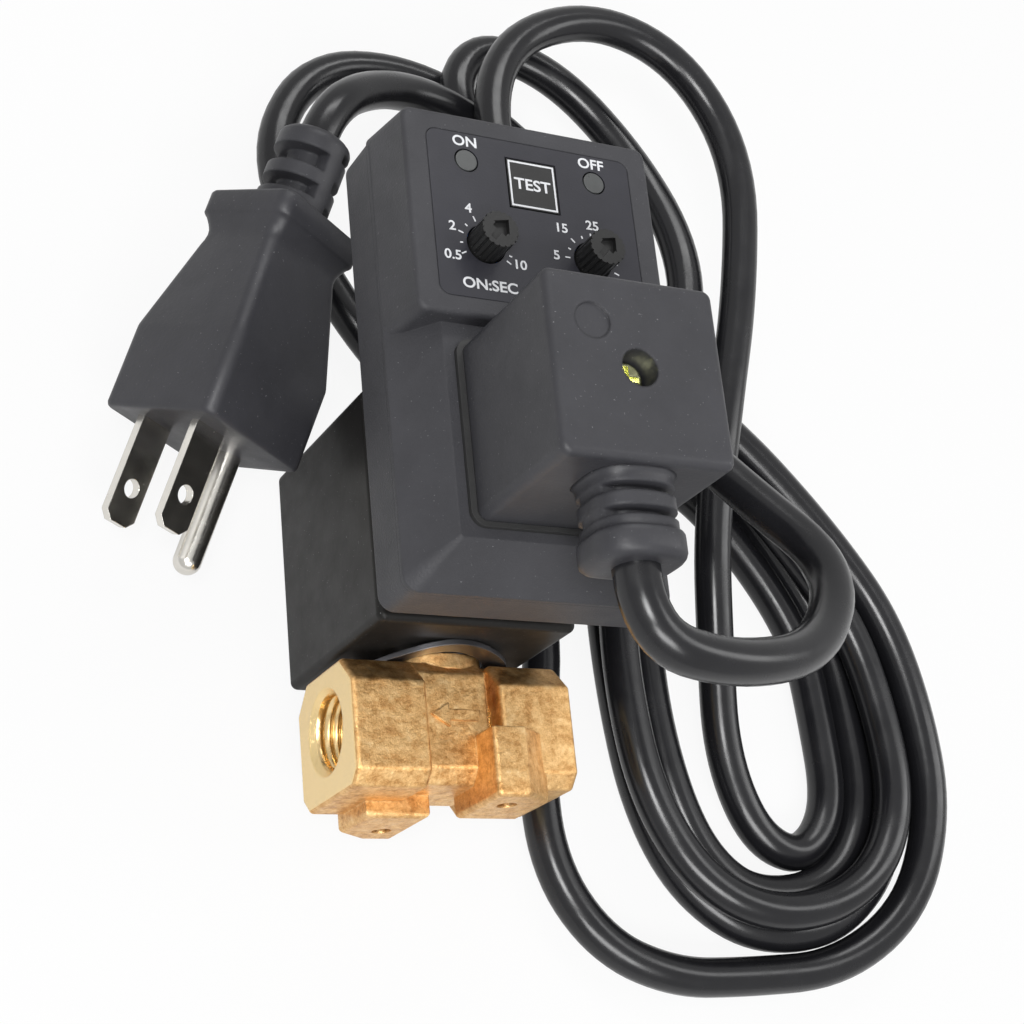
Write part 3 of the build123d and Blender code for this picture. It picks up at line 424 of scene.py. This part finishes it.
route = (LEAD
         # lower layer: three passes from the inside out
         + turn(6, [-1.4, -1.5, -1.6, -1.6, -1.4, -1.2, -1.1, -1.1], [LOW])
         + turn(14, [-1.0, -0.9, -0.9, -0.8, -0.9], [LOW])
         + turn(4, [-0.8, -0.6, -0.5, -0.55, -0.6, -0.6, -0.45, -0.3, -0.1, 0], [LOW])
         + turn(14, [0.1, 0.15, 0.2, 0.15, 0.1], [LOW])
         + turn(4, [0.15, 0.35, 0.5, 0.4, 0.35, 0.35, 0.5, 0.7, 0.9], [LOW])
         + LEFT
         # upper layer
         + turn(5, [1.4, 1.45, 1.38, 1.05, 0.88, 0.76, 0.6, 0.5],
                [LOW, 4.5, 7.5, 9.8, HIGH, HIGH, HIGH, HIGH])
         + BIGHT
         + turn(15, [0.6, 0.5, 0.6, 0.5, 0.3], [HIGH + 2, HIGH])
         + turn(5, [0.1, 0, -0.1, -0.2, -0.3, -0.4, -0.5, -0.5], [HIGH])
         + TAIL)

curve = bpy.data.curves.new("mains_cord", "CURVE")
curve.dimensions = "3D"
spline = curve.splines.new("NURBS")
pts = millimetres(route)
spline.points.add(len(pts) - 1)
for p, q in zip(spline.points, pts):
    p.co = (*q, 1)
spline.order_u = 3
spline.use_endpoint_u = True
spline.resolution_u = 8
curve.bevel_depth = CORD_R * MM
curve.bevel_resolution = 6
curve.materials.append(MAT["cord"])
cord = bpy.data.objects.new("mains_cord", curve)
scene.collection.objects.link(cord)
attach(cord, "valve")
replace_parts(cord, "cord_lead", "cord_bight_top", "cord_bight_left", "cord_tail", "cord_coil")
plug_grip()
plug_relief()


# ---------------------------------------------------------------- connector's strain relief


def connector_relief():
    """Moulded tail of the connector: D-shaped, with two slots cut from one side and a rounded end flange."""
    lo, hi = (Vector(c) / MM for c in RELIEF_END)
    cx, cz, y0, length = (lo.x + hi.x) / 2, (lo.z + hi.z) / 2, hi.y, hi.y - lo.y
    end_l = 4.4
    # distance from the connector, growth of the outline, share of the slots' depth
    rows = [(0, 0.5, 0), (0.35, 0.2, 0), (0.8, 0, 0)]
    for middle in (2.75, 6.25):
        rows += [(middle - 0.75, 0, 0), (middle - 0.68, -0.1, 0), (middle - 0.62, -0.12, 1),
                 (middle + 0.62, -0.12, 1), (middle + 0.68, -0.1, 0), (middle + 0.75, 0, 0)]
    e = length - end_l
    rows += [(e - 0.2, 0, 0), (e, 0.15, 0), (e + 0.15, 0.45, 0), (e + 0.5, 0.62, 0), (e + 1.0, 0.65, 0),
             (length - 1.4, 0.65, 0), (length - 0.8, 0.45, 0), (length - 0.35, 0.05, 0),
             (length - 0.08, -0.6, 0), (length, -1.4, 0), (length, -3.0, 0)]
    seg, w, d = 72, 6.5, 5.7
    rings = []
    for along, grow, cut in rows:
        ring = []
        for k in range(seg):
            a = 2 * pi * k / seg
            ca, sa = cos(a), sin(a)
            n = 2.6 if sa > 0 else 4.0
            r = 1 / (abs(ca / (w + grow)) ** n + abs(sa / (d + grow)) ** n) ** (1 / n)
            r -= 2.3 * cut * smooth_step(-0.93, -0.80, ca)
            ring.append(((cx + r * ca) * MM, (y0 - along) * MM, (cz + r * sa) * MM))
        rings.append(ring)
    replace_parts(skin("connector_relief", rings, MAT["moulding"]), "connector_strain_relief")


connector_relief()


# ---------------------------------------------------------------- plunger spring


def spring():
    """Wire coil of six turns, standing in the place of the plunger spring."""
    lo, hi = (Vector(c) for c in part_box("plunger_spring"))
    wire, turns, seg, ring = 0.225 * MM, 6, 28, 8
    r = (hi.x - lo.x) / 2 - wire
    y0, y1 = lo.y + wire, hi.y - wire
    verts, faces = [], []
    n = turns * seg
    for k in range(n + 1):
        a = 2 * pi * k / seg
        out, up = Vector((cos(a), 0, sin(a))), Vector((0, 1, 0))
        c = Vector((0, y0 + (y1 - y0) * k / n, (lo.z + hi.z) / 2)) + out * r
        for j in range(ring):
            b = 2 * pi * j / ring
            verts.append(c + out * wire * cos(b) + up * wire * sin(b))
    for k in range(n):
        for j in range(ring):
            q, s = k * ring + j, k * ring + (j + 1) % ring
            faces.append((q, s, s + ring, q + ring))
    piece = add("spring_coil", verts, faces, MAT["steel"], smooth=True)
    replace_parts(piece, "plunger_spring")
    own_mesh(piece)


spring()


# ---------------------------------------------------------------- printed panel
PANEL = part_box("panel_label")[1][2] / MM
DIAL_Y = 26.575


def word(name, text, x, y, size, bold=0.0):
    letters = bpy.data.curves.new(name, "FONT")
    letters.body = text
    letters.size = size * MM
    letters.offset = bold * MM
    letters.align_x, letters.align_y = "CENTER", "CENTER"
    letters.extrude = 0.02 * MM
    letters.resolution_u = 4
    letters.materials.append(INK)
    piece = bpy.data.objects.new(name, letters)
    piece.location = (x * MM, y * MM, (PANEL + 0.02) * MM)
    piece.scale.x = 1.08
    scene.collection.objects.link(piece)
    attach(piece, "valve")
    return piece


word("print_on", "ON", -11.3, 44.25, 2.5, 0.05)
word("print_off", "OFF", 11.1, 44.25, 2.5, 0.05)
word("print_on_unit", "ON:SEC", -9.3, 19.45, 2.5, 0.05)
word("print_off_unit", "OFF:MIN", 9.3, 19.45, 2.5, 0.05)
FIGURES = [("0.5", -15.15, 23.9), ("2", -14.85, 28.9), ("4", -11.8, 32.4), ("10", -3.8, 23.8),
           ("5", 2.9, 26.6), ("15", 4.3, 31.6), ("25", 10.0, 32.9), ("35", 13.3, 29.3), ("45", 14.1, 22.8)]
for number, (text, x, y) in enumerate(FIGURES):
    word(f"print_figure_{number}", text, x, y, 2.25, 0.04)


def tick(name, cx, angle, r0=4.0, r1=4.9, half=0.12):
    a = radians(angle)
    d, s = Vector((cos(a), sin(a))), Vector((-sin(a), cos(a)))
    c = Vector((cx, DIAL_Y))
    pts = [c + d * r0 + s * half, c + d * r0 - s * half, c + d * r1 - s * half, c + d * r1 + s * half]
    plate(name, [tuple(p) for p in pts], PANEL, PANEL + 0.04, INK)


for k, a in enumerate((207, 184, 160, 138, 112, 60, 10, -20, -36)):
    tick(f"tick_on_{k}", -9.3, a, 4.0, 4.9 if a in (207, 160, 112, -36) else 4.5)
for k, a in enumerate((180, 158, 135, 110, 88, 55, 28, 0, -22)):
    tick(f"tick_off_{k}", 9.3, a, 4.0, 4.9 if a in (180, 135, 88, 28, -22) else 4.5)

# test key: printed frame and word, which move with the key
lo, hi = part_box("test_button")
key_x, key_y = (lo[0] + hi[0]) / 2 / MM, (lo[1] + hi[1]) / 2 / MM
key_top = hi[2] / MM


def key_square(half):
    return [(key_x + half * x, key_y + half * y) for x, y in ((-1, -1), (1, -1), (1, 1), (-1, 1))]


frame_half, frame_line = 4.05, 0.3
plate("test_frame", key_square(frame_half), key_top, key_top + 0.04, INK, "test_key",
      holes=[key_square(frame_half - frame_line)])
test_word = word("test_word", "TEST", key_x, key_y, 2.75, 0.05)
test_word.location.z = (key_top + 0.02) * MM
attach(test_word, "test_key")


# ---------------------------------------------------------------- brass details


def port_thread(name, side):
    """Tapered pipe thread: a ridge that climbs round the bore."""
    pitch, turns, seg, wall, crest = 1.41, 7, 48, 6.08, 5.45
    verts, faces = [], []
    for k in range(turns * seg + 1):
        a = 2 * pi * k / seg
        x = 1.2 + pitch * k / seg
        fade = min(1, k / (seg * 0.6), (turns * seg - k) / (seg * 0.6))
        c = wall - (wall - crest) * fade
        for dx, r in ((-0.62, wall), (-0.12, c), (0.12, c), (0.62, wall)):
            p = (side * (BODY_HALF_L - x - dx), PORT_Y + r * cos(a), AXIS_Z + r * sin(a) * side)
            verts.append(tuple(c * MM for c in p))
    for k in range(turns * seg):
        for j in range(3):
            q = 4 * k + j
            faces.append((q, q + 1, q + 5, q + 4))
    add(name, verts, faces, BRASS_CUT, smooth=True)


port_thread("thread_outlet", -1)
port_thread("thread_inlet", 1)

WAIST_FRONT = AXIS_Z + 9.2
arrow = [(-5.0, -35.4), (-1.9, -33.4), (-1.9, -34.5), (3.6, -34.5), (3.2, -36.3), (-1.9, -36.3),
         (-1.9, -37.4)]
plate("flow_arrow", arrow, WAIST_FRONT - 0.1, WAIST_FRONT + 0.3, MAT["brass"])


# ---------------------------------------------------------------- floor, backdrop, lamps


def camera_share(tree, amount):
    """Light Path factor: amount for camera rays, less than half of it for glossy ones, 0 for the rest."""
    rays = tree.nodes.new("ShaderNodeLightPath").outputs
    glossy = math_node(tree, "MULTIPLY", rays["Is Glossy Ray"], 0.45)
    return math_node(tree, "MULTIPLY", math_node(tree, "MAXIMUM", rays["Is Camera Ray"], glossy), amount)


material, tree, shader = graph("studio_white")
shader.inputs["Base Color"].default_value = (0.60, 0.60, 0.60, 1)
shader.inputs["Roughness"].default_value = 0.9
shader.inputs["Specular IOR Level"].default_value = 0.1
glow = tree.nodes.new("ShaderNodeEmission")
mixer = tree.nodes.new("ShaderNodeMixShader")
tree.links.new(camera_share(tree, 0.90), mixer.inputs["Fac"])
tree.links.new(shader.outputs["BSDF"], mixer.inputs[1])
tree.links.new(glow.outputs[0], mixer.inputs[2])
tree.links.new(mixer.outputs[0], tree.nodes["Material Output"].inputs["Surface"])
mesh = bpy.data.meshes.new("floor")
mesh.from_pydata([(-2, -2, -0.0002), (2, -2, -0.0002), (2, 2, -0.0002), (-2, 2, -0.0002)], [], [(0, 1, 2, 3)])
mesh.materials.append(material)
floor = bpy.data.objects.new("floor", mesh)
scene.collection.objects.link(floor)

world = bpy.data.worlds.new("world")
scene.world = world
world.use_nodes = True
sky = world.node_tree
background = sky.nodes["Background"]
background.inputs["Color"].default_value = (1, 1, 1, 1)
sky.links.new(math_node(sky, "ADD", camera_share(sky, 0.70), 0.30), background.inputs["Strength"])


def lamp(name, at, size, power, aim=(0, 0, 0.04)):
    light = bpy.data.lights.new(name, "AREA")
    light.shape = "RECTANGLE"
    light.size, light.size_y = size
    light.energy = power
    holder = bpy.data.objects.new(name, light)
    holder.location = at
    holder.rotation_euler = (Vector(aim) - Vector(at)).to_track_quat("-Z", "Y").to_euler()
    scene.collection.objects.link(holder)


lamp("key", (-0.15, -0.80, 0.85), (0.7, 0.35), 8.5)
lamp("left", (-0.85, 0.25, 0.75), (0.3, 0.9), 0.5)
lamp("right", (0.85, 0.05, 0.8), (0.3, 0.9), 3)
lamp("top", (0.1, 0.8, 0.9), (0.8, 0.25), 3.6)
lamp("over", (-0.50, -0.28, 1.05), (0.35, 0.35), 7.5)

scene.view_settings.view_transform = "Standard"
